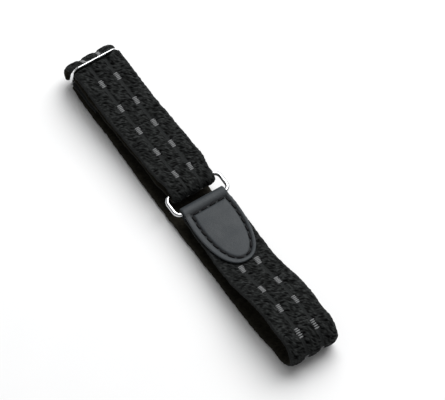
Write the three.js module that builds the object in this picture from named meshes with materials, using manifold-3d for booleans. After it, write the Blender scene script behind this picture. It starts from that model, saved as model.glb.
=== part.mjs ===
// Adjustable shirt sleeve holder, lying flattened on a flat surface.
// X runs along the band, Y across it, Z up. The origin is under the middle of the loop.
// One strip of ribbed elastic makes the loop. It starts between the leaves of a leather tab,
// folds over at the right end, lies on the surface, passes a wire slider at the left end,
// turns down round a wire ring, and runs back to the slider's middle bar, where it is sewn.
import * as THREE from 'three';
import { mergeVertices } from 'three/addons/utils/BufferGeometryUtils.js';
import Module from 'manifold-3d';

const wasm = await Module();
wasm.setup();

// The whole loop from fold to fold, and the clearance between pieces that touch
const length = 149.4;
const leftEnd = -length / 2;
const rightEnd = length / 2;
const gap = 0.35;

// Elastic strip: puffed ribs side by side with a groove between them
const band = { width: 20, thick: 2.2, grooveThick: 1.0, ribs: 3, ribFaces: 5 };

// Slider: round wire bent to a rounded rectangle, with a bar across its middle. It stands in
// the left fold with its top leant to the right. The strip bulges out of it to the left by
// foldOut, with foldRadius, and climbs to the upper slot at foldClimb degrees.
const slider = { width: 19, height: 15.2, wire: 1.6, bar: 1.4, corner: 2.6, lean: 77, fromLeft: 5.4 };
const surfaceClearance = 0.1;
const foldOut = 3.9;
const foldClimb = 25;
const foldRadius = 3.1;

// The strip's width and thickness where the slider's slots squeeze it, and how far from the
// slider's plane it is squeezed fully and not at all
const slot = { bandWidth: 15.1, bandThick: 1.2, squeezeNear: 1.9, squeezeFar: 4.4 };

// Ring: round wire bent to a rounded rectangle, tipped down to the right by its lean
const ring = { width: 24, barToBar: 8.6, wire: 1.6, corner: 3.4, leftBarX: -5.5, leftBarZ: 8.9, lean: 3 };

// Leather tab: a strip folded round the ring's right bar, its two leaves cut to a round tip.
// Its sides widen a little from the fold, which lies inside the ring.
const tab = {
  long: 32.6, width: 19.4, foldWidth: 18, thick: 1.2, straight: 10.5, roundness: 2.3, rise: 1.9,
};

// The strip's width where it turns round the ring, and the distances from the bar that it
// is squeezed fully and not at all
const turn = { bandWidth: 18, squeezeNear: 2.6, squeezeFar: 9 };

// Elastic held in the tab: its thickness, where it starts, and where it is full again
const sewn = { thick: 1.6, fromBar: 3.0, release: 3.5 };

// Heights of the strip's middle surface on the top runs: the sag between slider and ring,
// and the hump before the right fold
const sag = { fromSlider: 37, height: 11.05 };
const hump = { fromEnd: 19.2, height: 14.35 };
const rightFoldRadius = 6.4;

// The straight run on the surface and the slider lie a little to one side of the ring, which is
// in the middle. Above them, the strip and the tab wander across, level at each of these places.
const straightRunY = -0.95;
const wander = [
  { x: -60, y: straightRunY },
  { x: -8, y: 0.1 },
  { x: 36, y: -1.7 },
  { x: 62, y: straightRunY },
];
const wanderFrom = { low: 3, high: 5.5 };

// The tail under the top run: where it has come up to it, and its turned-back end
const tail = { joinFromRing: 18, flatFromSlider: 10, endFromSlider: 17, endDrop: 2.3 };

// Where the strip leaves the surface for the slider, and its straight lengths in the lower slot
// and before the middle bar
const liftFromSlider = 15;
const slotStraight = 1;
const barStraight = 2.5;

// Free curves of the strip: how far each keeps straight on at its start and at its end
const runs = {
  tabToHump: { leave: 9, arrive: 9 },
  humpToFold: { leave: 3, arrive: 3 },
  floorToSlot: { leave: 6, arrive: 6 },
  slotToSag: { leave: 3.5, arrive: 20 },
  sagToRing: { leave: 10, arrive: 6 },
  ringToTail: { leave: 6, arrive: 7 },
  tailToBar: { leave: 14, arrive: 14 },
  barToEnd: { leave: 4, arrive: 5 },
};

// How far cutting bodies reach past what they cut
const cutMargin = 1;

// How finely curves and wires are cut
const curveSteps = 6;
const wireSides = 10;
const cornerSteps = 3;

// Points of the slider's side view, by the distance out of its plane and up along it
const leanAngle = THREE.MathUtils.degToRad(slider.lean);
const barSpan = slider.height / 2 - slider.wire / 2;
const sliderX = leftEnd + slider.fromLeft;
const sliderZ = surfaceClearance + slider.wire / 2 + barSpan * Math.sin(leanAngle);

function onSlider(out, up) {
  return new THREE.Vector2(
    sliderX - out * Math.sin(leanAngle) + up * Math.cos(leanAngle),
    sliderZ + out * Math.cos(leanAngle) + up * Math.sin(leanAngle),
  );
}

// Side view of the ring's bars, and of the tab's middle plane from the right bar to its tip
const ringAngle = THREE.MathUtils.degToRad(ring.lean);
const leftBar = new THREE.Vector2(ring.leftBarX, ring.leftBarZ);
const rightBar = new THREE.Vector2(
  leftBar.x + ring.barToBar * Math.cos(ringAngle),
  leftBar.y - ring.barToBar * Math.sin(ringAngle),
);
const leafOffset = sewn.thick / 2 + gap + tab.thick / 2;
const tabFoldX = rightBar.x - leafOffset - tab.thick / 2;
const tabTip = new THREE.Vector2(tabFoldX + tab.long, rightBar.y + tab.rise);
const tabSlope = Math.atan2(tabTip.y - rightBar.y, tabTip.x - rightBar.x);

function onTab(along, above) {
  return new THREE.Vector2(
    rightBar.x + along * Math.cos(tabSlope) - above * Math.sin(tabSlope),
    rightBar.y + along * Math.sin(tabSlope) + above * Math.cos(tabSlope),
  );
}

// How far across the strip's middle lies at one place of its side view
function acrossAt(x, z) {
  const next = wander.findIndex((place) => place.x > x);
  if (next < 1) {
    return straightRunY;
  }
  const from = wander[next - 1];
  const to = wander[next];
  const across = THREE.MathUtils.lerp(from.y, to.y, THREE.MathUtils.smoothstep(x, from.x, to.x));
  const raised = THREE.MathUtils.smoothstep(z, wanderFrom.low, wanderFrom.high);
  return THREE.MathUtils.lerp(straightRunY, across, raised);
}

// One free curve of the strip: it leaves at the given angle and arrives level
function freeRun(side, run, endX, endZ, leaveAngle = 0) {
  const { x, y } = side.currentPoint;
  const leave = Math.sign(endX - x) * run.leave;
  const arrive = Math.sign(endX - x) * run.arrive;
  side.bezierCurveTo(x + leave, y + leave * Math.tan(leaveAngle), endX - arrive, endZ, endX, endZ);
}

// Side view of the strip's middle surface, from its end in the tab to its turned-back end
function bandRoute() {
  const low = band.thick / 2;
  const layer = band.thick + gap;
  const quarter = Math.PI / 2;
  const side = new THREE.Path();

  // From the tab up to the hump, and round the right fold to the surface
  const start = onTab(sewn.fromBar, 0);
  const foldX = rightEnd - rightFoldRadius - low;
  side.moveTo(start.x, start.y);
  side.lineTo(tabTip.x, tabTip.y);
  freeRun(side, runs.tabToHump, rightEnd - hump.fromEnd, hump.height, tabSlope);
  freeRun(side, runs.humpToFold, foldX, low + 2 * rightFoldRadius);
  side.absarc(foldX, low + rightFoldRadius, rightFoldRadius, quarter, -quarter, true);

  // Along the surface, and up into the lower slot
  const railClearance = slider.wire / 2 + gap + slot.bandThick / 2;
  const lower = onSlider(0, railClearance / Math.sin(leanAngle) - barSpan);
  side.lineTo(sliderX + liftFromSlider, low);
  freeRun(side, runs.floorToSlot, lower.x + slotStraight, lower.y);

  // Out round the left fold, and up to the upper slot
  const climb = THREE.MathUtils.degToRad(foldClimb);
  const crossing = leanAngle - climb;
  const upper = onSlider(0, barSpan - railClearance / Math.sin(crossing));
  const centreOut = foldOut - foldRadius;
  const climbLong = (centreOut + foldRadius * Math.cos(crossing)) / Math.sin(crossing);
  const upperCentre = new THREE.Vector2(
    upper.x - climbLong * Math.cos(climb) + foldRadius * Math.sin(climb),
    upper.y - climbLong * Math.sin(climb) - foldRadius * Math.cos(climb),
  );
  const lowerRise = lower.y + foldRadius - sliderZ - centreOut * Math.cos(leanAngle);
  const lowerCentre = onSlider(centreOut, lowerRise / Math.sin(leanAngle));
  const sideAngle = leanAngle + quarter;
  side.absarc(lowerCentre.x, lowerCentre.y, foldRadius, -quarter, sideAngle - 4 * quarter, true);
  side.absarc(upperCentre.x, upperCentre.y, foldRadius, sideAngle, quarter + climb, true);
  side.lineTo(upper.x, upper.y);

  // Along the top, and down round the ring's left bar
  const sagX = sliderX + sag.fromSlider;
  const ringTurn = ring.wire / 2 + gap + low;
  freeRun(side, runs.slotToSag, sagX, sag.height, climb);
  freeRun(side, runs.sagToRing, leftBar.x, leftBar.y + ringTurn);
  side.absarc(leftBar.x, leftBar.y, ringTurn, quarter, -quarter, true);

  // Back under the top run, round the slider's middle bar, and the turned-back end
  const tailZ = sag.height - layer;
  const barClearance = slider.bar / 2 + gap + slot.bandThick / 2;
  const endZ = tailZ - tail.endDrop;
  freeRun(side, runs.ringToTail, leftBar.x - tail.joinFromRing, tailZ);
  side.lineTo(sagX, tailZ);
  freeRun(side, runs.tailToBar, sliderX + barStraight, sliderZ + barClearance);
  side.lineTo(sliderX, sliderZ + barClearance);
  side.absarc(sliderX, sliderZ, barClearance, quarter, 3 * quarter, false);
  freeRun(side, runs.barToEnd, sliderX + tail.flatFromSlider, endZ);
  side.lineTo(sliderX + tail.endFromSlider, endZ);
  return side.getPoints(curveSteps);
}

// Outline of the strip's cross-section as [across, above], with ribs on both faces
function stripSection(width, thick) {
  const ribWidth = width / band.ribs;
  const groove = band.grooveThick / 2;
  const crestAngle = Math.PI * Math.floor(band.ribFaces / 2) / band.ribFaces;
  const crest = (thick / 2 - groove) / Math.sin(crestAngle);
  const upperSide = [];
  for (let rib = 0; rib < band.ribs; rib += 1) {
    for (let i = 0; i < band.ribFaces; i += 1) {
      const angle = Math.PI * i / band.ribFaces;
      const across = -width / 2 + ribWidth * (rib + 0.5 - 0.5 * Math.cos(angle));
      upperSide.push([across, groove + crest * Math.sin(angle)]);
    }
  }
  upperSide.push([width / 2, groove]);
  const lowerSide = upperSide.map(([across, above]) => [across, -above]).reverse();
  return [...upperSide, ...lowerSide];
}

// A closed body through equal rings of points: capped at both ends, or joined end to start
function loft(rings, endless) {
  const count = rings[0].length;
  const faces = [];
  const spans = endless ? rings.length : rings.length - 1;
  for (let i = 0; i < spans; i += 1) {
    const here = i * count;
    const next = ((i + 1) % rings.length) * count;
    for (let j = 0; j < count; j += 1) {
      const k = (j + 1) % count;
      faces.push(here + j, next + j, next + k, here + j, next + k, here + k);
    }
  }
  const geometry = new THREE.BufferGeometry();
  geometry.setFromPoints(rings.flat());
  geometry.setIndex(faces);
  return geometry;
}

// The caps' triangles for one cross-section outline, by point number
function capFaces(outline) {
  const contour = outline.map(([across, above]) => new THREE.Vector2(across, above));
  return THREE.ShapeUtils.triangulateShape(contour, []).flat();
}

// A strip laid along a side view: section(i) gives its outline at each route point
function layStrip(points, section) {
  const last = points.length - 1;
  const rings = points.map((point, i) => {
    const before = points[Math.max(i - 1, 0)];
    const after = points[Math.min(i + 1, last)];
    const ahead = after.clone().sub(before).normalize();
    const middle = acrossAt(point.x, point.y);
    return section(i).map(([across, above]) => new THREE.Vector3(
      point.x - ahead.y * above, middle + across, point.y + ahead.x * above));
  });
  const geometry = loft(rings, false);
  const cap = capFaces(section(0));
  const offset = last * rings[0].length;
  const startCap = [];
  for (let i = 0; i < cap.length; i += 3) {
    startCap.push(cap[i], cap[i + 2], cap[i + 1]);
  }
  const endCap = cap.map((index) => index + offset);
  geometry.setIndex([...geometry.index.array, ...startCap, ...endCap]);
  return geometry;
}

// The elastic: squeezed thin in the tab, and narrow and thin in the slider's slots
function bandGeometry() {
  const points = bandRoute();
  const tipIndex = points.findIndex((point) => point.distanceTo(tabTip) < 1e-6);
  const section = (i) => {
    const point = points[i];
    const plane = new THREE.Vector2(point.x - sliderX, point.y - sliderZ);
    const out = Math.abs(plane.x * Math.sin(leanAngle) - plane.y * Math.cos(leanAngle));
    const free = THREE.MathUtils.smoothstep(out, slot.squeezeNear, slot.squeezeFar);
    let width = THREE.MathUtils.lerp(slot.bandWidth, band.width, free);
    let thick = THREE.MathUtils.lerp(slot.bandThick, band.thick, free);
    const offRing = THREE.MathUtils.smoothstep(point.distanceTo(leftBar), turn.squeezeNear, turn.squeezeFar);
    width = Math.min(width, THREE.MathUtils.lerp(turn.bandWidth, band.width, offRing));
    if (i <= tipIndex + curveSteps) {
      const past = THREE.MathUtils.smoothstep(point.x - tabTip.x, 0, sewn.release);
      width = band.width;
      thick = THREE.MathUtils.lerp(sewn.thick, band.thick, past);
    }
    return stripSection(width, thick);
  };
  return layStrip(points, section);
}

// Centre line of a wire bent to a rounded rectangle, as [across, along]
function wireOutline(width, long, corner, wire) {
  const half = width / 2 - wire / 2;
  const reach = long / 2 - wire / 2;
  const bend = corner - wire / 2;
  const points = [];
  for (let quadrant = 0; quadrant < 4; quadrant += 1) {
    const signX = quadrant === 0 || quadrant === 3 ? 1 : -1;
    const signY = quadrant < 2 ? 1 : -1;
    for (let i = 0; i <= cornerSteps; i += 1) {
      const angle = Math.PI / 2 * (quadrant + i / cornerSteps);
      points.push([
        signX * (half - bend) + bend * Math.cos(angle),
        signY * (reach - bend) + bend * Math.sin(angle),
      ]);
    }
  }
  return points;
}

// A round wire along that centre line, lying flat with its middle at the origin
function bentWire(outline, wire) {
  const rings = outline.map(([across, along], i) => {
    const before = outline[(i + outline.length - 1) % outline.length];
    const after = outline[(i + 1) % outline.length];
    const ahead = new THREE.Vector2(after[0] - before[0], after[1] - before[1]).normalize();
    return Array.from({ length: wireSides }, (_, side) => {
      const angle = 2 * Math.PI * (side + 0.5) / wireSides;
      const outward = wire / 2 * Math.cos(angle);
      return new THREE.Vector3(
        across + ahead.y * outward, along - ahead.x * outward, wire / 2 * Math.sin(angle));
    });
  });
  return loft(rings, true);
}

// Solids for joining and cutting, and back to a geometry
function toSolid(geometry) {
  const bare = geometry.clone();
  bare.deleteAttribute('normal');
  bare.deleteAttribute('uv');
  const merged = mergeVertices(bare);
  return new wasm.Manifold(new wasm.Mesh({
    numProp: 3,
    vertProperties: new Float32Array(merged.attributes.position.array),
    triVerts: new Uint32Array(merged.index.array),
  }));
}

function toGeometry(solid) {
  const mesh = solid.getMesh();
  const geometry = new THREE.BufferGeometry();
  geometry.setAttribute('position', new THREE.BufferAttribute(mesh.vertProperties, 3));
  geometry.setIndex(new THREE.BufferAttribute(mesh.triVerts, 1));
  return geometry;
}

function sliderGeometry() {
  const frame = bentWire(wireOutline(slider.width, slider.height, slider.corner, slider.wire), slider.wire);
  const barLength = slider.width - slider.wire;
  const bar = new THREE.CylinderGeometry(slider.bar / 2, slider.bar / 2, barLength, wireSides);
  bar.rotateZ(Math.PI / 2);
  return toGeometry(toSolid(frame).add(toSolid(bar)));
}

function ringGeometry() {
  const long = ring.barToBar + ring.wire;
  return bentWire(wireOutline(ring.width, long, ring.corner, ring.wire), ring.wire);
}

// Side view of the tab's leather: upper leaf, round the ring's bar, lower leaf
function tabRoute() {
  const beyondTip = tab.long + cutMargin;
  const points = [onTab(beyondTip, leafOffset)];
  const steps = 2 * curveSteps;
  for (let i = 0; i <= steps; i += 1) {
    const angle = Math.PI / 2 + Math.PI * i / steps;
    points.push(onTab(leafOffset * Math.cos(angle), leafOffset * Math.sin(angle)));
  }
  points.push(onTab(beyondTip, -leafOffset));
  return points;
}

// Plan of the tab: its sides, then a full round tip, all wandering with the strip
function tabOutline() {
  const half = tab.width / 2;
  const straightEnd = tabFoldX + tab.straight;
  const tipLong = tab.long - tab.straight;
  const startX = tabFoldX - cutMargin;
  const place = (x, across) => new THREE.Vector2(x, acrossAt(x, rightBar.y) + across);
  const outline = [place(startX, -tab.foldWidth / 2)];
  const steps = 4 * curveSteps;
  for (let i = 0; i <= steps; i += 1) {
    const angle = -Math.PI / 2 + Math.PI * i / steps;
    const across = half * Math.sign(Math.sin(angle)) * Math.abs(Math.sin(angle)) ** (2 / tab.roundness);
    const along = tipLong * Math.max(Math.cos(angle), 0) ** (2 / tab.roundness);
    outline.push(place(straightEnd + along, across));
  }
  outline.push(place(startX, tab.foldWidth / 2));
  return new THREE.Shape(outline);
}

function tabGeometry() {
  const halfThick = tab.thick / 2;
  const across = tab.width / 2 + cutMargin;
  const section = [[-across, halfThick], [across, halfThick], [across, -halfThick], [-across, -halfThick]];
  const folded = layStrip(tabRoute(), () => section);
  const depth = 2 * (tabTip.y + leafOffset);
  const plan = new THREE.ExtrudeGeometry(tabOutline(), { depth, bevelEnabled: false });
  return toGeometry(toSolid(folded).intersect(toSolid(plan)));
}

function piece(name, geometry, color, roughness, metalness) {
  const material = new THREE.MeshStandardMaterial({ color, roughness, metalness });
  const mesh = new THREE.Mesh(geometry, material);
  mesh.name = name;
  return mesh;
}

const elastic = piece('elastic_band', bandGeometry(), 0x222326, 0.9, 0);
const leather = piece('leather_tab', tabGeometry(), 0x3e4246, 0.55, 0);

// The slider lies flat as made, with X across: it is turned across the band and leant over
const sliderMesh = piece('slider', sliderGeometry(), 0xdfe3e6, 0.12, 1);
sliderMesh.rotation.set(0, -leanAngle, Math.PI / 2, 'XYZ');
sliderMesh.position.set(sliderX, straightRunY, sliderZ);

const ringMesh = piece('ring', ringGeometry(), 0xdfe3e6, 0.12, 1);
ringMesh.rotation.set(0, ringAngle, Math.PI / 2, 'XYZ');
ringMesh.position.set((leftBar.x + rightBar.x) / 2, 0, (leftBar.y + rightBar.y) / 2);

const sleeveHolder = new THREE.Group();
sleeveHolder.add(elastic, leather, sliderMesh, ringMesh);
export default sleeveHolder;
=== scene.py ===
import math

import bpy
import numpy as np
from mathutils import Matrix, Vector


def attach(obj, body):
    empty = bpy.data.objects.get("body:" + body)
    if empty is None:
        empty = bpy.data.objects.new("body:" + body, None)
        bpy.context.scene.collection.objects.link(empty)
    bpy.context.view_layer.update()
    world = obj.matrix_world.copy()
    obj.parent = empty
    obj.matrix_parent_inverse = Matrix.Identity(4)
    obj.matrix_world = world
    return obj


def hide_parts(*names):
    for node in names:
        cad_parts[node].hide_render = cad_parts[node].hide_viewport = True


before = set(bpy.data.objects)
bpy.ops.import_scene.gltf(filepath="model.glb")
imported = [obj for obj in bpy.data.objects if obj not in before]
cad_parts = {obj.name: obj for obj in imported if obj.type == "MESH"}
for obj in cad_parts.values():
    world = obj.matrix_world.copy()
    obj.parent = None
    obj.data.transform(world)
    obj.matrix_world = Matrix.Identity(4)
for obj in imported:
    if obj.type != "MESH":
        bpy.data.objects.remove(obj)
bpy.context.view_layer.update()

mm = 0.001

# Elastic band: one strip of black ribbed webbing, 20 mm wide, with three puffed ribs and two
# flat grooves between them. It starts in the leather tab, folds over at the right end, passes
# the slider, turns down round the ring, and is sewn to itself round the slider's middle bar.
loop_length = 149.4 * mm
left_end = -loop_length / 2
right_end = loop_length / 2
gap = 0.35 * mm
band_width = 20 * mm
band_thick = 2.2 * mm
groove_thick = 1.0 * mm
groove_across = band_width / 6
slot_width = 15.1 * mm
slot_thick = 1.2 * mm
sewn_thick = 1.1 * mm
straight_run_y = -0.95 * mm

# The places that the strip's route goes by: the slider, the ring's two bars and the tab
slider_height = 15.2 * mm
slider_wire = 1.6 * mm
slider_bar = 1.4 * mm
slider_lean = math.radians(77)
slider_reach = slider_height / 2 - slider_wire / 2
slider_lift = 0.1 * mm
slider_x = left_end + 5.4 * mm
slider_z = slider_lift + slider_wire / 2 + slider_reach * math.sin(slider_lean)

ring_wire = 1.6 * mm
ring_lean = math.radians(3)
ring_bars = 8.6 * mm
left_bar = np.array([-5.5, 8.9]) * mm
right_bar = left_bar + ring_bars * np.array([math.cos(ring_lean), -math.sin(ring_lean)])

tab_thick = 1.2 * mm
tab_long = 32.6 * mm
tab_rise = 1.9 * mm
leaf_offset = ring_wire / 2 + gap + tab_thick / 2
tab_fold_x = right_bar[0] - leaf_offset - tab_thick / 2
tab_tip = np.array([tab_fold_x + tab_long, right_bar[1] + tab_rise])
tab_slope = math.atan2(tab_tip[1] - right_bar[1], tab_tip[0] - right_bar[0])


def on_slider(out, up):
    """A point of the side view by its distance out of the slider's plane and up along it."""
    return np.array([
        slider_x - out * math.sin(slider_lean) + up * math.cos(slider_lean),
        slider_z + out * math.cos(slider_lean) + up * math.sin(slider_lean),
    ])


def straight(route, x, z):
    route.append(np.linspace(route[-1][-1], (x, z), 20)[1:])


def arc(route, centre, radius, start, end):
    turn = np.linspace(start, end, 60)
    route.append(np.stack([centre[0] + radius * np.cos(turn), centre[1] + radius * np.sin(turn)], 1))


def free_run(route, x, z, leave, arrive, leave_angle=0.0):
    """A free curve that keeps straight on for leave, and arrives level after arrive."""
    start = route[-1][-1]
    ahead = math.copysign(1, x - start[0])
    handles = [
        start,
        start + ahead * leave * np.array([1, math.tan(leave_angle)]),
        np.array([x - ahead * arrive, z]),
        np.array([x, z]),
    ]
    t = np.linspace(0, 1, 80)[1:, None]
    weights = ((1 - t) ** 3, 3 * t * (1 - t) ** 2, 3 * t ** 2 * (1 - t), t ** 3)
    route.append(sum(w * h for w, h in zip(weights, handles)))


def smooth_step(value, low, high):
    """0 up to low, 1 from high on, and a smooth rise between them."""
    t = np.clip((value - low) / (high - low), 0, 1)
    return t * t * (3 - 2 * t)


def bell(value, spread):
    """1 where the value is 0, and a smooth fall to nearly 0 at twice the spread."""
    return np.exp(-(value / spread) ** 2)


def across_at(x, z):
    """How far to one side the strip's middle lies: both runs and the tab wander a little."""
    on_top = smooth_step(z, 3.0 * mm, 5.5 * mm)
    lower_run = -1.0 * mm * smooth_step(x, -45 * mm, -10 * mm) * (1 - smooth_step(x, 50 * mm, 72 * mm))
    out = 1.05 * mm * smooth_step(x, -60 * mm, -8 * mm)
    back = -1.80 * mm * smooth_step(x, -8 * mm, 36 * mm)
    home = 0.75 * mm * smooth_step(x, 36 * mm, 62 * mm)
    return straight_run_y + (out + back + home) * on_top + lower_run * (1 - on_top)


def band_route():
    """Side view of the strip's middle surface, from its end in the tab to its turned-back end,
    with the points where it leaves the tab and passes under the slider's upper rail."""
    low = band_thick / 2
    quarter = math.pi / 2
    start_in_tab = 3.0 * mm
    tab_ahead = np.array([math.cos(tab_slope), math.sin(tab_slope)])
    route = [np.array([right_bar + start_in_tab * tab_ahead])]
    straight(route, *tab_tip)
    tip_end = sum(len(part) for part in route)

    # Up to the hump, round the right fold, and along the surface
    hump_x = right_end - 19.2 * mm
    hump_z = 14.35 * mm
    fold_radius = 6.4 * mm
    fold_x = right_end - fold_radius - low
    free_run(route, hump_x, hump_z, 9 * mm, 9 * mm, tab_slope)
    free_run(route, fold_x, low + 2 * fold_radius, 3 * mm, 3 * mm)
    arc(route, (fold_x, low + fold_radius), fold_radius, quarter, -quarter)
    straight(route, slider_x + 15 * mm, low)

    # Through the lower slot, out round the left fold, and up to the upper slot
    bulge_out = 3.9 * mm
    bulge_radius = 3.1 * mm
    climb = math.radians(25)
    rail_clearance = slider_wire / 2 + gap + slot_thick / 2
    lower = on_slider(0, rail_clearance / math.sin(slider_lean) - slider_reach)
    free_run(route, lower[0] + 1 * mm, lower[1], 6 * mm, 6 * mm)
    crossing = slider_lean - climb
    upper = on_slider(0, slider_reach - rail_clearance / math.sin(crossing))
    centre_out = bulge_out - bulge_radius
    climb_long = (centre_out + bulge_radius * math.cos(crossing)) / math.sin(crossing)
    upper_centre = upper - climb_long * np.array([math.cos(climb), math.sin(climb)])
    upper_centre += bulge_radius * np.array([math.sin(climb), -math.cos(climb)])
    lower_rise = lower[1] + bulge_radius - slider_z - centre_out * math.cos(slider_lean)
    lower_centre = on_slider(centre_out, lower_rise / math.sin(slider_lean))
    side = slider_lean + quarter
    arc(route, lower_centre, bulge_radius, -quarter, side - 4 * quarter)
    arc(route, upper_centre, bulge_radius, side, quarter + climb)
    straight(route, *upper)
    rail_end = sum(len(part) for part in route)

    # Along the top, down round the ring's left bar, and back under the top run
    sag_x = slider_x + 37 * mm
    sag_z = 11.05 * mm
    tail_z = sag_z - band_thick - gap
    ring_turn = ring_wire / 2 + gap + low
    free_run(route, sag_x, sag_z, 3.5 * mm, 20 * mm, climb)
    free_run(route, left_bar[0], left_bar[1] + ring_turn, 10 * mm, 6 * mm)
    arc(route, left_bar, ring_turn, quarter, -quarter)
    free_run(route, left_bar[0] - 18 * mm, tail_z, 6 * mm, 7 * mm)
    straight(route, sag_x, tail_z)

    # Round the slider's middle bar, and the turned-back end
    bar_clearance = slider_bar / 2 + gap + slot_thick / 2
    turned_back_z = tail_z - 2.3 * mm
    free_run(route, slider_x + 2.5 * mm, slider_z + bar_clearance, 14 * mm, 14 * mm)
    straight(route, slider_x, slider_z + bar_clearance)
    arc(route, (slider_x, slider_z), bar_clearance, quarter, 3 * quarter)
    free_run(route, slider_x + 10 * mm, turned_back_z, 4 * mm, 5 * mm)
    straight(route, slider_x + 17 * mm, turned_back_z)
    points = np.concatenate(route)
    return points, points[tip_end - 1], points[rail_end - 1]


def points_at(spots, points, along):
    """Places on a line of points at the spots' distances along it."""
    return np.stack([np.interp(spots, along, points[:, axis]) for axis in (0, 1)], -1)


def evenly(points, step):
    """The same line with its points evenly spaced, and how far along it each one is."""
    reach = np.concatenate([[0], np.cumsum(np.linalg.norm(np.diff(points, axis=0), axis=1))])
    keep = np.concatenate([[True], np.diff(reach) > 1e-9])
    along = np.linspace(0, reach[-1], round(reach[-1] / step) + 1)
    return points_at(along, points[keep], reach[keep]), along


def along_at(spot, points, along):
    """How far along the strip a spot of its route is."""
    return along[np.argmin(np.linalg.norm(points - spot, axis=1))]


def thin_hidden(points, along):
    """Leaves out every other point where the strip doesn't show: in the tab, along the floor and
    under the top run."""
    tip = along_at(tip_point, points, along)
    rail = along_at(rail_point, points, along)
    shows = (along > tip - 1 * mm) & (along < tip + 62 * mm)
    shows |= (along > rail - 18 * mm) & (along < rail + 70 * mm)
    keep = shows | (np.arange(len(along)) % 2 == 0)
    keep[-1] = True
    return points[keep], along[keep]


band_points, tip_point, rail_point = band_route()
band_points, band_along = thin_hidden(*evenly(band_points, 0.3 * mm))
band_strip_length = band_along[-1]

# The strip's direction at each point, smoothed where straights and curves of its route meet
band_ahead = np.gradient(band_points, band_along, axis=0)
for _ in range(3):
    band_ahead[1:-1] = (band_ahead[:-2] + band_ahead[1:-1] + band_ahead[2:]) / 3
band_ahead /= np.linalg.norm(band_ahead, axis=1)[:, None]
band_up = np.stack([-band_ahead[:, 1], band_ahead[:, 0]], 1)

band_middle = across_at(band_points[:, 0], band_points[:, 1])
tip_along = along_at(tip_point, band_points, band_along)
rail_along = along_at(rail_point, band_points, band_along)
right_fold_along = band_along[np.argmax(band_points[:, 0])]


def rail_lips(along, across):
    """How much the outer face swells up on both sides of the slider's upper rail, which presses
    into it a little past the slot, and over the rail's far end."""
    past_rail = along - rail_along - 1.37 * mm
    over_end = 1.3 * mm * smooth_step(across, 5.5 * mm, 9 * mm)
    on_top_run = past_rail > -over_end
    apart = np.abs(np.where(on_top_run, past_rail + over_end, past_rail))
    swell = smooth_step(apart, 0.25 * mm, 1.05 * mm) * (1 - smooth_step(apart, 1.2 * mm, 5.5 * mm))
    return np.where(on_top_run, 1.2 * mm + 0.3 * over_end, 1.0 * mm) * swell


def band_size():
    """The strip's width and thickness at each of its points."""
    # Squeezed in the slider's slots, and puffed out on both sides of the upper rail
    from_slider = band_points - [slider_x, slider_z]
    out = np.abs(from_slider[:, 0] * math.sin(slider_lean) - from_slider[:, 1] * math.cos(slider_lean))
    from_rail = np.abs(band_along - rail_along)
    by_rail = 0.45 * mm * (from_rail < 5 * mm)
    full_width = smooth_step(out + by_rail, 0.85 * mm, 2.0 * mm)
    full_thick = smooth_step(out, 0.8 * mm, 1.9 * mm)
    width = slot_width + (band_width - slot_width) * full_width
    thick = slot_thick + (band_thick - slot_thick) * full_thick
    thick += 0.5 * mm * bell(from_rail - 2.4 * mm, 1.1 * mm)

    # Drawn in by 2 mm round the ring's bar, and tapered towards the floor at the left fold
    off_ring = smooth_step(np.linalg.norm(band_points - left_bar, axis=1), 2.6 * mm, 9 * mm)
    width = np.minimum(width, 18 * mm + 2 * mm * off_ring)
    in_left_fold = (band_along > rail_along - 30 * mm) & (from_slider[:, 0] < 0)
    taper = smooth_step(band_points[:, 1], -6 * mm, 5 * mm)
    tapered = slot_width + (band_width - slot_width) * taper
    width[in_left_fold] = np.minimum(width, tapered)[in_left_fold]

    # Fuller round the right fold, and flat where it is sewn between the tab's leaves
    thick += 0.5 * mm * bell(band_along - right_fold_along, 9 * mm)
    in_tab = band_along < tip_along + 4 * mm
    past_tip = smooth_step(band_along - tip_along, 0, 3.5 * mm)
    width[in_tab] = band_width
    thick[in_tab] = (sewn_thick + (band_thick - sewn_thick) * past_tip)[in_tab]
    return width, thick


band_widths, band_thicks = band_size()


def crinkle(along, across, slant, long, wide, seed):
    """Short slanted pits between the crimped yarns, long by wide apart: 0 in a pit to 1 on the
    yarns, and a shade for each yarn."""
    p = (along * math.cos(slant) + across * math.sin(slant)) / long
    q = (across * math.cos(slant) - along * math.sin(slant)) / wide
    count = 256
    inset = 0.12
    room = 1 - 2 * inset
    chance = np.random.RandomState(seed).rand(count, count, 6)
    i, j = np.floor(p).astype(int), np.floor(q).astype(int)
    pit = np.zeros(p.shape)
    nearest = np.full(p.shape, np.inf)
    shade = np.zeros(p.shape)
    for di in (-1, 0, 1):
        for dj in (-1, 0, 1):
            spot = chance[(i + di) % count, (j + dj) % count]
            place_p, place_q, tone, depth, shorter, narrower = np.moveaxis(spot, -1, 0)
            far_p = (p - i - di - inset - room * place_p) * long
            far_q = (q - j - dj - inset - room * place_q) * wide
            turn = 0.65 * (depth - 0.5)
            turned_p = (far_p * np.cos(turn) + far_q * np.sin(turn)) / long
            turned_q = (far_q * np.cos(turn) - far_p * np.sin(turn)) / wide
            far = np.hypot(turned_p * (0.75 + 0.7 * shorter), turned_q * (0.95 + 0.5 * narrower))
            pit = np.maximum(pit, (0.4 + 0.6 * depth) * (1 - smooth_step(far, 0.08, 0.52)))
            shade = np.where(far < nearest, tone, shade)
            nearest = np.minimum(nearest, far)
    return 1 - pit, shade


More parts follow.
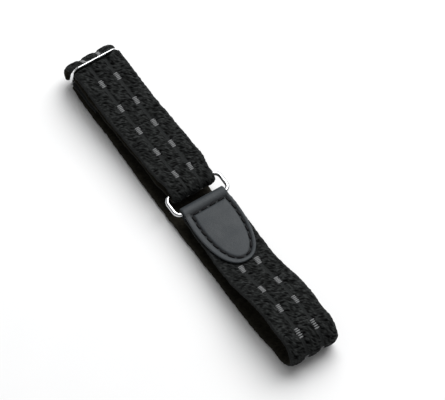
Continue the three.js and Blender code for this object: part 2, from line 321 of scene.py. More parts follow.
def rib_profile(across):
    """How high a face stands between groove level, 0, and rib crest, 1, over the strip's width."""
    groove_half = 0.48 * mm
    selvage = 0.6 * mm
    middle = np.abs(across) < groove_across
    low = np.where(middle, -groove_across + groove_half, groove_across + groove_half)
    high = np.where(middle, groove_across - groove_half, band_width / 2 - selvage)
    rib = np.where(middle, across, np.abs(across))
    r = np.clip(2 * (rib - low) / (high - low) - 1, -1, 1)
    return (1 - np.abs(r) ** 2.4) ** 0.6


def band_section():
    """Points once round the strip's section: how far across each is, and its side, which goes
    from 1 on the outer face over the rounded selvages to -1 on the inner face."""
    edge = groove_thick / 2
    face_half = band_width / 2 - edge
    outer_face = np.linspace(-face_half, face_half, 64)
    inner_face = np.linspace(face_half, -face_half, 30)
    turn = np.radians([45, 0, -45])
    rim = face_half + edge * np.cos(turn)
    across = np.concatenate([outer_face, rim, inner_face, -rim])
    side = np.concatenate([
        np.ones_like(outer_face), np.sin(turn), -np.ones_like(inner_face), np.sin(turn[::-1])])
    return across, side


def build_band():
    across, side = band_section()
    on_face = np.abs(side) == 1
    outer = (side > -0.5) * 1.0
    along, wide = np.meshgrid(band_along, across, indexing="ij")

    # Crimped yarns: coarse pits and finer ones, other ones on each face, and none at the selvages
    apart = wide + 40 * mm * (side < 0)
    bow = 0.35 * mm * np.sin(along / (1.9 * mm) + apart / (1.3 * mm))
    yarn, shade = crinkle(along + bow, apart - bow, math.radians(45), 3.0 * mm, 0.95 * mm, seed=7)
    fine_yarn, fine_shade = crinkle(along, apart, math.radians(25), 1.6 * mm, 0.75 * mm, seed=8)
    yarn = np.clip(yarn - 0.35 * (1 - fine_yarn), 0, 1)
    yarn = 1 - (1 - yarn) * smooth_step(band_width / 2 - np.abs(wide), 0.5 * mm, 1.5 * mm)
    shade = (shade + fine_shade) / 2

    # Height above the middle surface: ribs and grooves, less the pits, and the lips at the rail
    edge = groove_thick / 2
    rib = rib_profile(wide) * on_face
    puff = (band_thicks[:, None] - groove_thick) / 2
    relief = 0.48 * mm * smooth_step(rib, 0.05, 0.45) * np.minimum(puff / (band_thick / 2 - edge), 1)
    relief *= 0.4 + 0.6 * outer
    height = edge + rib * puff - relief * (1 - yarn)
    height = np.where(on_face, np.sign(side) * height, edge * side)
    height += rail_lips(along, wide) * (0.5 + 0.5 * rib) * (side > 0)

    # Selvages that wave a little and are ragged
    wave = 0.10 * mm * np.sin(along / (2.9 * mm) + 3 * np.sin(along / (11 * mm)))
    knots = np.arange(600) * 0.75 * mm
    bumps = np.random.RandomState(3).rand(2, len(knots)) - 0.5
    far_edge, near_edge = [np.interp(band_along, knots, row)[:, None] for row in bumps]
    ragged = np.where(wide > 0, far_edge, near_edge) * 0.30 * mm
    at_selvage = smooth_step(np.abs(wide), 7 * mm, 10 * mm)
    y = wide * (band_widths[:, None] / band_width) + (wave + ragged) * at_selvage
    y += band_middle[:, None]
    x = band_points[:, :1] + band_up[:, :1] * height
    z = band_points[:, 1:] + band_up[:, 1:] * height
    verts = np.stack([x, y, np.maximum(z, 0)], 2)

    rows, count = wide.shape
    here = np.arange(rows - 1)[:, None] * count + np.arange(count)
    after = np.arange(rows - 1)[:, None] * count + (np.arange(count) + 1) % count
    quads = np.stack([here, here + count, after + count, after], 2).reshape(-1, 4)
    caps = [list(range(count))[::-1], [(rows - 1) * count + k for k in range(count)]]
    mesh = bpy.data.meshes.new("elastic_webbing")
    mesh.from_pydata(verts.reshape(-1, 3).tolist(), [], quads.tolist() + caps)
    shape = bpy.data.objects.new("elastic_webbing", mesh)
    bpy.context.collection.objects.link(shape)

    # The weave's own coordinates in millimetres: along the strip, and once round its section
    round_it = np.concatenate([[0], np.cumsum(np.hypot(np.diff(across), 0.4 * mm * np.diff(side)))])
    weave = np.stack(np.meshgrid(band_along / mm, round_it / mm, indexing="ij"), 2).reshape(-1, 2)
    layer = mesh.uv_layers.new(name="weave")
    corner = np.zeros(len(mesh.loops), dtype=np.int32)
    mesh.loops.foreach_get("vertex_index", corner)
    layer.data.foreach_set("uv", weave[corner].ravel())
    for name, value in (("yarn", yarn), ("shade", shade), ("rib", rib), ("outer", outer)):
        attribute = mesh.attributes.new(name, "FLOAT", "POINT")
        attribute.data.foreach_set("value", np.broadcast_to(value, wide.shape).ravel())
    mesh.polygons.foreach_set("use_smooth", [True] * len(mesh.polygons))
    return shape


def feed(material, node, inputs):
    """Sets or links a node's inputs from (socket, value or another node's output) pairs."""
    for socket, value in inputs:
        if isinstance(value, bpy.types.NodeSocket):
            material.node_tree.links.new(value, node.inputs[socket])
        else:
            node.inputs[socket].default_value = value


def new_material(name, inputs):
    """A material and its Principled shader, with some of the shader's inputs set."""
    material = bpy.data.materials.new(name)
    material.use_nodes = True
    shader = material.node_tree.nodes["Principled BSDF"]
    feed(material, shader, inputs)
    return material, shader


def add_node(material, kind, inputs=(), **settings):
    node = material.node_tree.nodes.new(kind)
    for name, value in settings.items():
        setattr(node, name, value)
    feed(material, node, inputs)
    return node


def mix_colors(material, factor, first, second, blend="MIX"):
    inputs = [(0, factor), (6, first), (7, second)]
    return add_node(material, "ShaderNodeMix", inputs, data_type="RGBA", blend_type=blend).outputs[2]


def calculate(material, operation, first, second):
    return add_node(material, "ShaderNodeMath", [(0, first), (1, second)], operation=operation).outputs[0]


def rescale(material, value, low, high, to_low=0.0, to_high=1.0):
    """Spreads the values from low to high over those from to_low to to_high."""
    return add_node(material, "ShaderNodeMapRange", [
        ("Value", value), ("From Min", low), ("From Max", high),
        ("To Min", to_low), ("To Max", to_high)]).outputs["Result"]


def noise(material, place, scale, detail=2.0, roughness=0.5):
    return add_node(material, "ShaderNodeTexNoise", [
        ("Vector", place), ("Scale", scale), ("Detail", detail), ("Roughness", roughness),
    ]).outputs["Fac"]


def bump(material, height, strength, distance, under=None):
    """A surface direction for a fine relief, which may lie on another one under it."""
    inputs = [("Height", height), ("Strength", strength), ("Distance", distance)]
    if under is not None:
        inputs.append(("Normal", under))
    return add_node(material, "ShaderNodeBump", inputs).outputs["Normal"]


def black_webbing():
    material, shader = new_material("black_webbing", [("Specular IOR Level", 0.02)])
    weave = add_node(material, "ShaderNodeUVMap", uv_map="weave").outputs["UV"]
    yarn, shade, rib, outer = [
        add_node(material, "ShaderNodeAttribute", attribute_name=name).outputs["Fac"]
        for name in ("yarn", "shade", "rib", "outer")]

    # Fine filaments along the slanted yarns, and straight warp threads in the grooves
    slanted = add_node(material, "ShaderNodeMapping", [
        ("Vector", weave), ("Rotation", (0, 0, math.radians(47)))]).outputs["Vector"]
    filament = add_node(material, "ShaderNodeTexWave", [
        ("Vector", slanted), ("Scale", 1.3), ("Distortion", 3.0),
        ("Detail", 2.0), ("Detail Scale", 1.5)], bands_direction="X").outputs["Fac"]
    warp = add_node(material, "ShaderNodeTexWave", [
        ("Vector", weave), ("Scale", 0.95), ("Distortion", 0.6)], bands_direction="Y").outputs["Fac"]
    fuzz = noise(material, weave, 2.2, 5.0, 0.65)
    drawn_out = add_node(material, "ShaderNodeMapping", [
        ("Vector", slanted), ("Scale", (1.9, 0.75, 1))]).outputs["Vector"]
    gaps = add_node(material, "ShaderNodeTexVoronoi", [
        ("Vector", drawn_out), ("Scale", 1.0)]).outputs["Distance"]
    strands = rescale(material, gaps, 0.1, 0.75, 1.35, 0.45)
    on_rib = rescale(material, rib, 0.0, 0.3)
    thread = add_node(material, "ShaderNodeMix", [(0, on_rib), (2, warp), (3, filament)]).outputs[0]

    # Painted shade, nearly black in the pits, with a tone for each yarn, smoother in the grooves and
    # browner inside
    painted_pit_shade = calculate(material, "POWER", yarn, 1.7)
    yarn_tone_with_pit_shade = calculate(material, "MULTIPLY", painted_pit_shade, rescale(material, shade, 0.15, 0.85, 0.5, 1.1))
    strands_with_pit_shade = calculate(material, "MULTIPLY", yarn_tone_with_pit_shade, strands)
    rib_color = mix_colors(material, strands_with_pit_shade, (0.0003, 0.0003, 0.0003, 1), (0.038, 0.0405, 0.040, 1))
    groove_color = mix_colors(material, warp, (0.012, 0.013, 0.013, 1), (0.034, 0.036, 0.036, 1))
    outside = mix_colors(material, on_rib, groove_color, rib_color)
    inside = mix_colors(material, strands_with_pit_shade, (0.013, 0.012, 0.009, 1), (0.032, 0.029, 0.022, 1))
    plain = mix_colors(material, outer, inside, outside)
    speck = mix_colors(material, fuzz, (0.55, 0.55, 0.55, 1), (1.35, 1.35, 1.35, 1))
    feed(material, shader, [
        ("Base Color", mix_colors(material, 1.0, plain, speck, "MULTIPLY")),
        ("Roughness", rescale(material, fuzz, 0.3, 0.7, 0.75, 0.5)),
        ("Normal", bump(material, fuzz, 0.6, 0.12 * mm, bump(material, thread, 0.7, 0.07 * mm))),
    ])
    return material


elastic = build_band()
elastic.data.materials.append(black_webbing())
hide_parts("elastic_band")
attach(elastic, "root")


# Groove dashes: pale grey threads woven into the two grooves. Each dash is a short stack of
# five floats across the groove, and the dashes come in pairs, 10 to 12 mm apart along the strip.
dash_pitch = 11.75 * mm
dash_floats = 5
float_pitch = 0.67 * mm
float_size = Vector((0.31, 1.17, 0.25)) * mm
float_lift = 0.02 * mm
dash_skew = -0.06


def dash_rows():
    """Distances along the strip: as they show on the two upper runs, and even elsewhere."""
    right_run = tip_along + np.array([1.6, 13.85, 24.15, 35.6]) * mm
    on_bulge = rail_along - 2.2 * mm
    spaces = round((on_bulge - right_run[-1]) / dash_pitch)
    hidden = np.linspace(right_run[-1], on_bulge, spaces + 1)[1:]
    left_run = rail_along + np.array([10.5, 22.85, 34.45, 45.6]) * mm
    tail = np.arange(left_run[-1] + dash_pitch, band_strip_length - 8 * mm, dash_pitch)
    return np.concatenate([right_run, hidden, left_run, tail])


def place_copies(shape, matrices):
    """Repeats the shape's mesh once for each matrix, in one mesh."""
    corners = np.array([tuple(v.co) for v in shape.data.vertices])
    faces = [tuple(f.vertices) for f in shape.data.polygons]
    verts = []
    polygons = []
    for n, matrix in enumerate(matrices):
        turned = corners @ np.array(matrix.to_3x3()).T + np.array(matrix.translation)
        verts += turned.tolist()
        polygons += [tuple(v + n * len(corners) for v in face) for face in faces]
    mesh = bpy.data.meshes.new(shape.name)
    mesh.from_pydata(verts, [], polygons)
    mesh.polygons.foreach_set("use_smooth", [True] * len(polygons))
    shape.data = mesh


def on_band(along, across, above):
    """Where a small shape sits on the strip: its X along it, its Z out of its outer face."""
    x, z = points_at(along, band_points, band_along)
    ahead_x, ahead_z = points_at(along, band_ahead, band_along)
    squeeze = np.interp(along, band_along, band_widths) / band_width
    above += rail_lips(along, across) / 2
    return Matrix((
        (ahead_x, 0, -ahead_z, x - ahead_z * above),
        (0, squeeze, 0, across * squeeze + np.interp(along, band_along, band_middle)),
        (ahead_z, 0, ahead_x, z + ahead_x * above),
        (0, 0, 0, 1),
    ))


bpy.ops.object.select_all(action="DESELECT")
bpy.ops.mesh.primitive_uv_sphere_add(segments=8, ring_count=6, radius=1)
dashes = bpy.context.object
dashes.name = "groove_dashes"
bpy.ops.transform.resize(value=float_size)
bpy.ops.object.transform_apply(location=False, rotation=False, scale=True)
float_places = []
for row in dash_rows():
    stretched = 1 + 0.45 * bell(row - right_fold_along, 9 * mm)
    for groove in (-groove_across, groove_across):
        for n in range(dash_floats):
            shift = (n - (dash_floats - 1) / 2) * float_pitch * stretched
            across = groove + dash_skew * shift
            float_places.append(on_band(row + shift, across, groove_thick / 2 + float_lift))
place_copies(dashes, float_places)


def object_place(material):
    return add_node(material, "ShaderNodeTexCoord").outputs["Object"]


def twisted_thread(name, scale, dark, light, inputs):
    """Spun thread, with the fine unevenness of its twist."""
    material, shader = new_material(name, [("Roughness", 0.6)] + inputs)
    twist = noise(material, object_place(material), scale, 3.0)
    feed(material, shader, [
        ("Base Color", mix_colors(material, twist, dark, light)),
        ("Normal", bump(material, twist, 0.5, 0.05 * mm)),
    ])
    return material


dashes.data.materials.append(twisted_thread(
    "pale_thread", 2600.0, (0.05, 0.052, 0.054, 1), (0.25, 0.255, 0.26, 1), [("Sheen Weight", 0.2)]))
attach(dashes, "root")


# Slider: a rounded rectangle of 1.6 mm plated steel wire with a thinner bar welded across its
# middle. Its rails are pressed flatter than round, and its side wires have flat outer faces.
# The elastic runs out over the bar between the two rails, and holds it on edge.
slider_width = 19 * mm
slider_corner = 2.6 * mm
rail_flatness = 0.56
rail_to_side = 1.8 * mm
bar_long = slider_width - 1.6 * slider_wire
weld_long = 0.5 * mm
weld_flare = 1.3
weld_end = 0.35 * mm


def bent_wire(name, across, along, corner, wire):
    """A closed loop of round wire lying flat, across on X and along on Y, middle at the origin:
    a circle drawn along the straights and spun round the corners."""
    reach_x = across / 2 - wire / 2
    reach_y = along / 2 - wire / 2
    bend = corner - wire / 2
    bpy.ops.object.select_all(action="DESELECT")
    bpy.ops.mesh.primitive_circle_add(
        vertices=24, radius=wire / 2, location=(reach_x, bend - reach_y, 0), rotation=(math.pi / 2, 0, 0))
    loop = bpy.context.object
    loop.name = name
    bpy.ops.object.transform_apply(location=True, rotation=True, scale=True)
    bpy.ops.object.mode_set(mode="EDIT")
    bpy.ops.mesh.select_all(action="SELECT")
    straight_parts = 8
    part_x = 2 * (reach_x - bend) / straight_parts
    part_y = 2 * (reach_y - bend) / straight_parts
    for sign_x, sign_y, part in (
        (1, 1, (0, part_y, 0)),
        (-1, 1, (-part_x, 0, 0)),
        (-1, -1, (0, -part_y, 0)),
        (1, -1, (part_x, 0, 0)),
    ):
        for _ in range(straight_parts):
            bpy.ops.mesh.extrude_edges_move(TRANSFORM_OT_translate={"value": part})
        bpy.ops.mesh.spin(
            steps=12, angle=-math.pi / 2, axis=(0, 0, 1),
            center=(sign_x * (reach_x - bend), sign_y * (reach_y - bend), 0))
    bpy.ops.mesh.select_all(action="SELECT")
    bpy.ops.mesh.remove_doubles(threshold=0.02 * mm)
    bpy.ops.mesh.normals_make_consistent(inside=False)
    bpy.ops.object.mode_set(mode="OBJECT")
    bpy.ops.object.shade_smooth()
    return loop


def settle(shape, matrix):
    """Puts a finished shape in its place, with the place in its mesh."""
    shape.data.transform(matrix @ shape.matrix_world)
    shape.matrix_world = Matrix.Identity(4)


slider = bent_wire("wire_slider", slider_width, slider_height, slider_corner, slider_wire)
side_middle = slider_width / 2 - slider_wire / 2
for vertex in slider.data.vertices:
    from_rail = slider_height / 2 - abs(vertex.co.y)
    on_side = float(smooth_step(from_rail, slider_corner, slider_corner + rail_to_side))
    vertex.co.z *= rail_flatness + (1 - rail_flatness) * on_side
    beyond = abs(vertex.co.x) - side_middle
    if beyond > 0:
        flat_side = min(2 * beyond, slider_wire / 2)
        vertex.co.x = math.copysign(side_middle + beyond + (flat_side - beyond) * on_side, vertex.co.x)

# The middle bar, with its ends flared into the welds
bpy.ops.object.select_all(action="DESELECT")
bpy.ops.mesh.primitive_cylinder_add(
    vertices=24, radius=slider_bar / 2, depth=bar_long, rotation=(0, math.pi / 2, 0))
middle_bar = bpy.context.object
bpy.ops.object.mode_set(mode="EDIT")
for end in (-1, 1):
    bpy.ops.mesh.select_all(action="DESELECT")
    bpy.ops.object.mode_set(mode="OBJECT")
    for face in middle_bar.data.polygons:
        face.select = face.normal.z * end > 0.9
    bpy.ops.object.mode_set(mode="EDIT")
    bpy.ops.mesh.extrude_region_move(TRANSFORM_OT_translate={"value": (end * weld_long, 0, 0)})
    bpy.ops.transform.resize(value=(1, weld_flare, weld_flare))
    bpy.ops.mesh.extrude_region_move(TRANSFORM_OT_translate={"value": (end * weld_end, 0, 0)})
bpy.ops.object.mode_set(mode="OBJECT")
bpy.ops.object.shade_smooth_by_angle(angle=math.radians(50))
middle_bar.select_set(True)
slider.select_set(True)
bpy.context.view_layer.objects.active = slider
bpy.ops.object.join()
lean_over = Matrix.Rotation(-slider_lean, 4, "Y") @ Matrix.Rotation(math.pi / 2, 4, "Z")
settle(slider, Matrix.Translation((slider_x, straight_run_y, slider_z)) @ lean_over)


def plated_wire(name, dull, bright):
    """Plated steel, bright and a little unevenly polished."""
    material, shader = new_material(name, [("Metallic", 1.0)])
    cloud = noise(material, object_place(material), 420.0, 4.0, 0.6)
    feed(material, shader, [
        ("Base Color", mix_colors(material, cloud, dull, bright)),
        ("Roughness", rescale(material, cloud, 0.35, 0.7, 0.06, 0.16)),
        ("Normal", bump(material, cloud, 0.12, 0.05 * mm)),
    ])
    return material


# The slider's plating is a lighter copy of the ring's: the extra brightness is painted light, making its
# side wires look as bright as if they reflected unshadowed floor
slider.data.materials.clear()
slider.data.materials.append(
    plated_wire("plated_wire_painted_brighter", (0.80, 0.81, 0.82, 1), (0.90, 0.91, 0.92, 1)))
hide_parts("slider")
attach(slider, "root")


# Ring: a flat loop of 1.6 mm plated wire with round corners, butt-welded shut. The elastic
# turns down round its left bar, and the leather tab is folded round its right bar.
ring_width = 24 * mm
ring_corner = 3.4 * mm
ring = bent_wire("wire_ring", ring_width, ring_bars + ring_wire, ring_corner, ring_wire)
ring_middle = (left_bar + right_bar) / 2
lean_down = Matrix.Rotation(ring_lean, 4, "Y") @ Matrix.Rotation(math.pi / 2, 4, "Z")
settle(ring, Matrix.Translation((ring_middle[0], 0, ring_middle[1])) @ lean_down)
ring.data.materials.append(plated_wire("plated_wire", (0.56, 0.57, 0.58, 1), (0.66, 0.67, 0.68, 1)))
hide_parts("ring")
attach(ring, "root")


# Leather tab: one piece of smooth dark grey leather, 1.2 mm thick, folded round the ring's
# right bar with the elastic's end between its leaves. A pressed line of black stitches runs
# round both leaves and across them behind the bar.
tab_width = 19.4 * mm
tab_fold_width = 18 * mm
tab_straight = 10.5 * mm
tip_roundness = 2.3
stitch_pitch = 3.5 * mm
stitch_inset = 2.1 * mm
stitch_askew = 0.45 * mm
stitch_from_fold = 5.2 * mm
line_step = 0.1 * mm
line_count = 400
leaf_top = leaf_offset + tab_thick / 2
leaf_long = tab_long - leaf_top
leaf_straight = tab_straight - leaf_top
leaf_stitch_start = stitch_from_fold - leaf_top
leaf_start_half = tab_fold_width / 2 + (tab_width - tab_fold_width) / 2 * leaf_top / tab_straight


def leaf_outline(count, inset, askew=0):
    """Points of a leaf's edge, set in by inset and less of it by askew on one side, from one end
    of its fold side round the tip."""
    half = tab_width / 2
    bend = leaf_long - leaf_straight
    t = np.linspace(-math.pi / 2, math.pi / 2, line_count)
    across = half * np.sign(np.sin(t)) * np.abs(np.sin(t)) ** (2 / tip_roundness)
    along = leaf_straight + bend * np.maximum(np.cos(t), 0) ** (2 / tip_roundness)
    tip = np.stack([along, across], 1)
    edge = np.concatenate([[[0, -leaf_start_half]], tip, [[0, leaf_start_half]]])
    even, _ = evenly(edge, line_step)
    ahead = np.gradient(even, axis=0)
    ahead /= np.linalg.norm(ahead, axis=1)[:, None]
    inward = np.stack([-ahead[:, 1], ahead[:, 0]], 1)
    moved = even + (inset - askew * even[:, 1:] / half) * inward
    even, reach = evenly(moved, line_step)
    return points_at(np.linspace(0, reach[-1], count), even, reach)


edge_line = leaf_outline(line_count, 0)
stitch_edge = leaf_outline(line_count, stitch_inset, stitch_askew)
stitch_edge = stitch_edge[stitch_edge[:, 0] > leaf_stitch_start]
stitch_line = np.concatenate([stitch_edge, stitch_edge[:1]])


def stitch_spots():
    """Middles of the stitches, evenly round the closed line, and the holes between them."""
    even, reach = evenly(stitch_line, line_step)
    count = round(reach[-1] / stitch_pitch)
    pitch = reach[-1] / count
    spots = (np.arange(count) + 0.5) * pitch
    return points_at(spots, even, reach), points_at(spots - pitch / 2, even, reach)


stitch_middles, stitch_holes = stitch_spots()


def nearest_distance(points, line):
    """Distance of each point from a line of close points."""
    steps = np.diff(line, axis=0)
    lengths = np.maximum((steps ** 2).sum(1), 1e-14)
    offset = points[:, None] - line[None, :-1]
    t = np.clip((offset * steps).sum(2) / lengths, 0, 1)
    return np.linalg.norm(offset - t[..., None] * steps, axis=2).min(1)


def leaf_height(points):
    """How far a leaf's face stands above its nominal height: its rounded edge, pressed stitch
    line with holes, domed panel, and the ridge over the ring's bar."""
    from_edge = nearest_distance(points, edge_line)
    from_stitch = nearest_distance(points, stitch_line)
    from_hole = np.linalg.norm(points[:, None] - stitch_holes[None], axis=2).min(1)
    past_edge = np.minimum(from_edge / (0.42 * mm), 1)
    edge_drop = 0.40 * mm * (1 - np.sqrt(1 - (1 - past_edge) ** 2))
    channel = 0.32 * mm * bell(from_stitch, 0.42 * mm)
    sink = 0.16 * mm * (1 - smooth_step(from_stitch, 0.2 * mm, 1.3 * mm))
    pit = 0.16 * mm * bell(from_hole, 0.32 * mm)
    ridge_fall = 0.62 * mm * smooth_step(points[:, 0], 0.6 * mm, leaf_stitch_start - 0.2 * mm)
    in_panel = (from_edge > stitch_inset - 0.6 * mm) & (points[:, 0] > leaf_stitch_start)
    dome = np.where(in_panel, 0.12 * mm * smooth_step(from_stitch, 0.2 * mm, 3.5 * mm), 0)
    return dome - edge_drop - channel - sink - pit - ridge_fall


def painted_shade_on_leather(points):
    """How much painted shade darkens the leather: in the stitch channel, and on the slope under the
    ridge.
    """
    shade_along_stitches = bell(nearest_distance(points, stitch_line), 0.55 * mm)
    shade_under_ridge = 0.75 * smooth_step(points[:, 0], 1.0 * mm, leaf_stitch_start)
    return np.maximum(shade_along_stitches, np.where(points[:, 0] < leaf_stitch_start, shade_under_ridge, 0))


def select_by_place(shape, test):
    """Selects the vertices whose place passes the test. Called and left in edit mode."""
    bpy.ops.object.mode_set(mode="OBJECT")
    for part in (shape.data.polygons, shape.data.edges):
        part.foreach_set("select", [False] * len(part))
    for vertex in shape.data.vertices:
        vertex.select = test(vertex.co)
    bpy.ops.object.mode_set(mode="EDIT")


# The upper leaf: the outline of a circle drawn out to the leaf's form, then inset loop by loop,
# finely near the edge and the stitches
side_count = 260
fold_count = 60
bpy.ops.object.select_all(action="DESELECT")
bpy.ops.mesh.primitive_circle_add(vertices=side_count + fold_count, radius=tab_width / 2)
leather = bpy.context.object
leather.name = "stitched_leather_tab"
fold_across = np.linspace(leaf_start_half, -leaf_start_half, fold_count + 2)[1:-1]
fold_side = np.stack([np.zeros(fold_count), fold_across], 1)
plan = np.concatenate([leaf_outline(side_count, 0), fold_side])
for vertex, (along, across) in zip(leather.data.vertices, plan):
    vertex.co = (along, across, 0)
bpy.ops.object.mode_set(mode="EDIT")
bpy.ops.mesh.select_all(action="SELECT")
size = 1.0
for step in [0.006, 0.009, 0.012] + [0.015] * 24 + [0.04] * 12:
    shrink = 1 - step / size
    bpy.ops.mesh.extrude_edges_move()
    bpy.ops.transform.resize(value=(shrink, shrink, 1), center_override=(leaf_long / 2, 0, 0))
    size -= step
bpy.ops.mesh.edge_face_add()
bpy.ops.mesh.poke()
bpy.ops.object.mode_set(mode="OBJECT")
flat = np.array([tuple(v.co) for v in leather.data.vertices])[:, :2]
for vertex, rise in zip(leather.data.vertices, leaf_height(flat)):
    vertex.co.z = leaf_top + rise
# Painted shade along the stitch line and on the slope under the ridge, kept for the leather's colour
painted_leather_shade = leather.data.attributes.new("painted_leather_shade", "FLOAT", "POINT")
painted_leather_shade.data.foreach_set("value", painted_shade_on_leather(flat))

# The roll round the bar, spun from the fold side
at_seam = 0.01 * mm
bpy.ops.object.mode_set(mode="EDIT")
select_by_place(leather, lambda co: co.x < at_seam)
bpy.ops.mesh.spin(steps=24, angle=math.pi, axis=(0, 1, 0), center=(0, 0, 0))
bpy.ops.object.mode_set(mode="OBJECT")

# The lower leaf, a copy of the upper one without the roll, turned over and joined to it
lower_leaf = leather.copy()
lower_leaf.data = leather.data.copy()
bpy.context.collection.objects.link(lower_leaf)
bpy.ops.object.select_all(action="DESELECT")
lower_leaf.select_set(True)
bpy.context.view_layer.objects.active = lower_leaf
bpy.ops.object.mode_set(mode="EDIT")
select_by_place(lower_leaf, lambda co: co.x < -at_seam or co.z < 0)
bpy.ops.mesh.delete(type="VERT")
bpy.ops.object.mode_set(mode="OBJECT")
lower_leaf.data.transform(Matrix.Scale(-1, 4, (0, 0, 1)))
leather.select_set(True)
bpy.context.view_layer.objects.active = leather
bpy.ops.object.join()
bpy.ops.object.mode_set(mode="EDIT")
bpy.ops.mesh.select_all(action="SELECT")
bpy.ops.mesh.remove_doubles(threshold=at_seam)
bpy.ops.mesh.normals_make_consistent(inside=False)
bpy.ops.object.mode_set(mode="OBJECT")

# The leather's thickness, inwards from its outer face, skived a little so that it folds
skived = 0.05 * mm
wall = leather.modifiers.new("wall", "SOLIDIFY")
wall.thickness = tab_thick - skived
wall.offset = -1
bpy.ops.object.modifier_apply(modifier="wall")
bpy.ops.object.shade_smooth_by_angle(angle=math.radians(55))
on_bar = Matrix.Translation((right_bar[0], 0, right_bar[1])) @ Matrix.Rotation(-tab_slope, 4, "Y")
settle(leather, on_bar)
for vertex in leather.data.vertices:
    vertex.co.y += across_at(vertex.co.x, right_bar[1])


def grey_leather():
    material, shader = new_material("grey_leather", [("Specular IOR Level", 0.28)])
    place = object_place(material)
    pebbles = add_node(material, "ShaderNodeTexVoronoi", [
        ("Vector", place), ("Scale", 1900.0)], feature="DISTANCE_TO_EDGE").outputs["Distance"]
    pores = noise(material, place, 1400.0, 5.0, 0.6)
    clouds = noise(material, place, 160.0, 3.0)
    body = mix_colors(material, clouds, (0.025, 0.030, 0.034, 1), (0.035, 0.041, 0.046, 1))
    worn = mix_colors(material, pores, (0.70, 0.70, 0.70, 1), (1.3, 1.3, 1.3, 1))
    mottled = mix_colors(material, 1.0, body, worn, "MULTIPLY")
    # Painted shade darkens the mottled colour to near black along the stitches and under the ridge
    painted_leather_shade_in = add_node(material, "ShaderNodeAttribute", attribute_name="painted_leather_shade").outputs["Fac"]
    grain = bump(material, rescale(material, pebbles, 0.0, 0.28), 0.5, 0.05 * mm)
    feed(material, shader, [
        ("Base Color", mix_colors(material, painted_leather_shade_in, mottled, (0.006, 0.007, 0.008, 1))),
        ("Roughness", rescale(material, clouds, 0.3, 0.7, 0.42, 0.58)),
        ("Normal", bump(material, pores, 0.6, 0.06 * mm, grain)),
    ])
    return material


leather.data.materials.append(grey_leather())
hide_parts("leather_tab")
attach(leather, "root")


# Tab stitches: thick black waxed thread, sewn through both leaves and the elastic between
# them. Each stitch dives into its holes and lies slightly slanted in the pressed line.
stitch_long = stitch_pitch * 0.80
stitch_thick = 0.95 * mm
stitch_lift = 0.20 * mm
stitch_slant = math.radians(7)

# One stitch: a ball drawn out along X and filled out, with its ends bent down into their holes
bpy.ops.object.select_all(action="DESELECT")
bpy.ops.mesh.primitive_uv_sphere_add(segments=10, ring_count=14, radius=0.5, rotation=(0, math.pi / 2, 0))
tab_stitches = bpy.context.object
tab_stitches.name = "tab_stitches"
bpy.ops.object.transform_apply(location=False, rotation=True, scale=False)
for vertex in tab_stitches.data.vertices:
    share = abs(vertex.co.x) * 2
    ball = math.sqrt(max(1 - share ** 2, 0.04))
    fuller = min(math.sqrt(max(1 - share ** 6, 0)) / ball, 2.0)
    vertex.co.x *= stitch_long
    vertex.co.y *= stitch_thick * fuller
    vertex.co.z = vertex.co.z * stitch_thick * fuller - 0.42 * stitch_thick * share ** 3

stitch_places = []
for middle, hole in zip(stitch_middles, stitch_holes):
    direction = middle - hole
    heading = math.atan2(direction[1], direction[0]) + stitch_slant
    for leaf in (1, -1):
        rise = leaf * (leaf_top + leaf_height(middle[None])[0] + stitch_lift)
        lie = Matrix.Translation((middle[0], middle[1], rise)) @ Matrix.Rotation(heading, 4, "Z")
        if leaf < 0:
            lie = lie @ Matrix.Rotation(math.pi, 4, "X")
        place = on_bar @ lie
        place.translation.y += across_at(place.translation.x, right_bar[1])
        stitch_places.append(place)
place_copies(tab_stitches, stitch_places)

tab_stitches.data.materials.append(twisted_thread(
    "black_thread", 3000.0, (0.002, 0.002, 0.0025, 1), (0.008, 0.008, 0.009, 1),
    [("Specular IOR Level", 0.15)]))
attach(tab_stitches, "root")


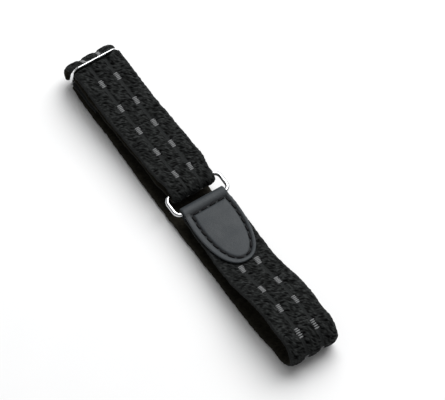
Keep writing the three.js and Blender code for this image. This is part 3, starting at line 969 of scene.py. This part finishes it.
# Floor: a wide sheet of plain white paper that the holder lies on. It reaches past the edges
# of every view, so that none of its own edges shows.
bpy.ops.object.select_all(action="DESELECT")
bpy.ops.mesh.primitive_plane_add(size=8)
floor = bpy.context.object
floor.name = "floor"
white_paper, paper_shader = new_material("white_paper", [("Roughness", 0.8)])
fibres = noise(white_paper, object_place(white_paper), 60.0)
paper_tint = mix_colors(white_paper, fibres, (0.90, 0.905, 0.91, 1), (0.92, 0.92, 0.92, 1))
feed(white_paper, paper_shader, [("Base Color", paper_tint)])
floor.data.materials.append(white_paper)


# Light: a large soft box above and behind to the left, aimed at the holder, and an even white
# room that fills the shadows.
key_place = Vector((-0.35, 0.60, 1.05))
bpy.ops.object.light_add(type="AREA", location=key_place)
key_light = bpy.context.object
key_light.name = "key_light"
key_light.data.shape = "SQUARE"
key_light.data.size = 1.3
key_light.data.energy = 22.3
key_light.rotation_euler = (-key_place).to_track_quat("-Z", "Y").to_euler()
room = bpy.data.worlds.new("white_room")
bpy.context.scene.world = room
room.use_nodes = True
room.node_tree.nodes["Background"].inputs["Color"].default_value = (1, 1, 1, 1)
room.node_tree.nodes["Background"].inputs["Strength"].default_value = 0.27
bpy.context.scene.view_settings.view_transform = "Standard"


# Camera: at the photograph's viewing angle, seen along the band from above its right end. Its
# distance and lens give the photograph's scale on the holder.
view_azimuth = math.radians(55.5)
view_elevation = math.radians(57.5)
view_roll = math.radians(0.9)
view_distance = 1.1
view_target = Vector((4.4, 7.05, 6.0)) * mm
pixels_per_mm = 2.79
image_width = 445
sensor_width = 36

back = Vector((
    math.sin(view_azimuth) * math.cos(view_elevation),
    -math.cos(view_azimuth) * math.cos(view_elevation),
    math.sin(view_elevation),
))
right = Vector((math.cos(view_azimuth), math.sin(view_azimuth), 0))
up = back.cross(right)
rolled_right = right * math.cos(view_roll) + up * math.sin(view_roll)
rolled_up = up * math.cos(view_roll) - right * math.sin(view_roll)
camera_place = view_target + view_distance * back
bpy.ops.object.camera_add()
camera = bpy.context.object
camera.name = "camera"
turn = Matrix((rolled_right, rolled_up, back)).transposed().to_4x4()
camera.matrix_world = Matrix.Translation(camera_place) @ turn
camera.data.sensor_width = sensor_width
camera.data.lens = pixels_per_mm * view_distance / mm * sensor_width / image_width
camera.data.clip_start = 0.01
bpy.context.scene.camera = camera
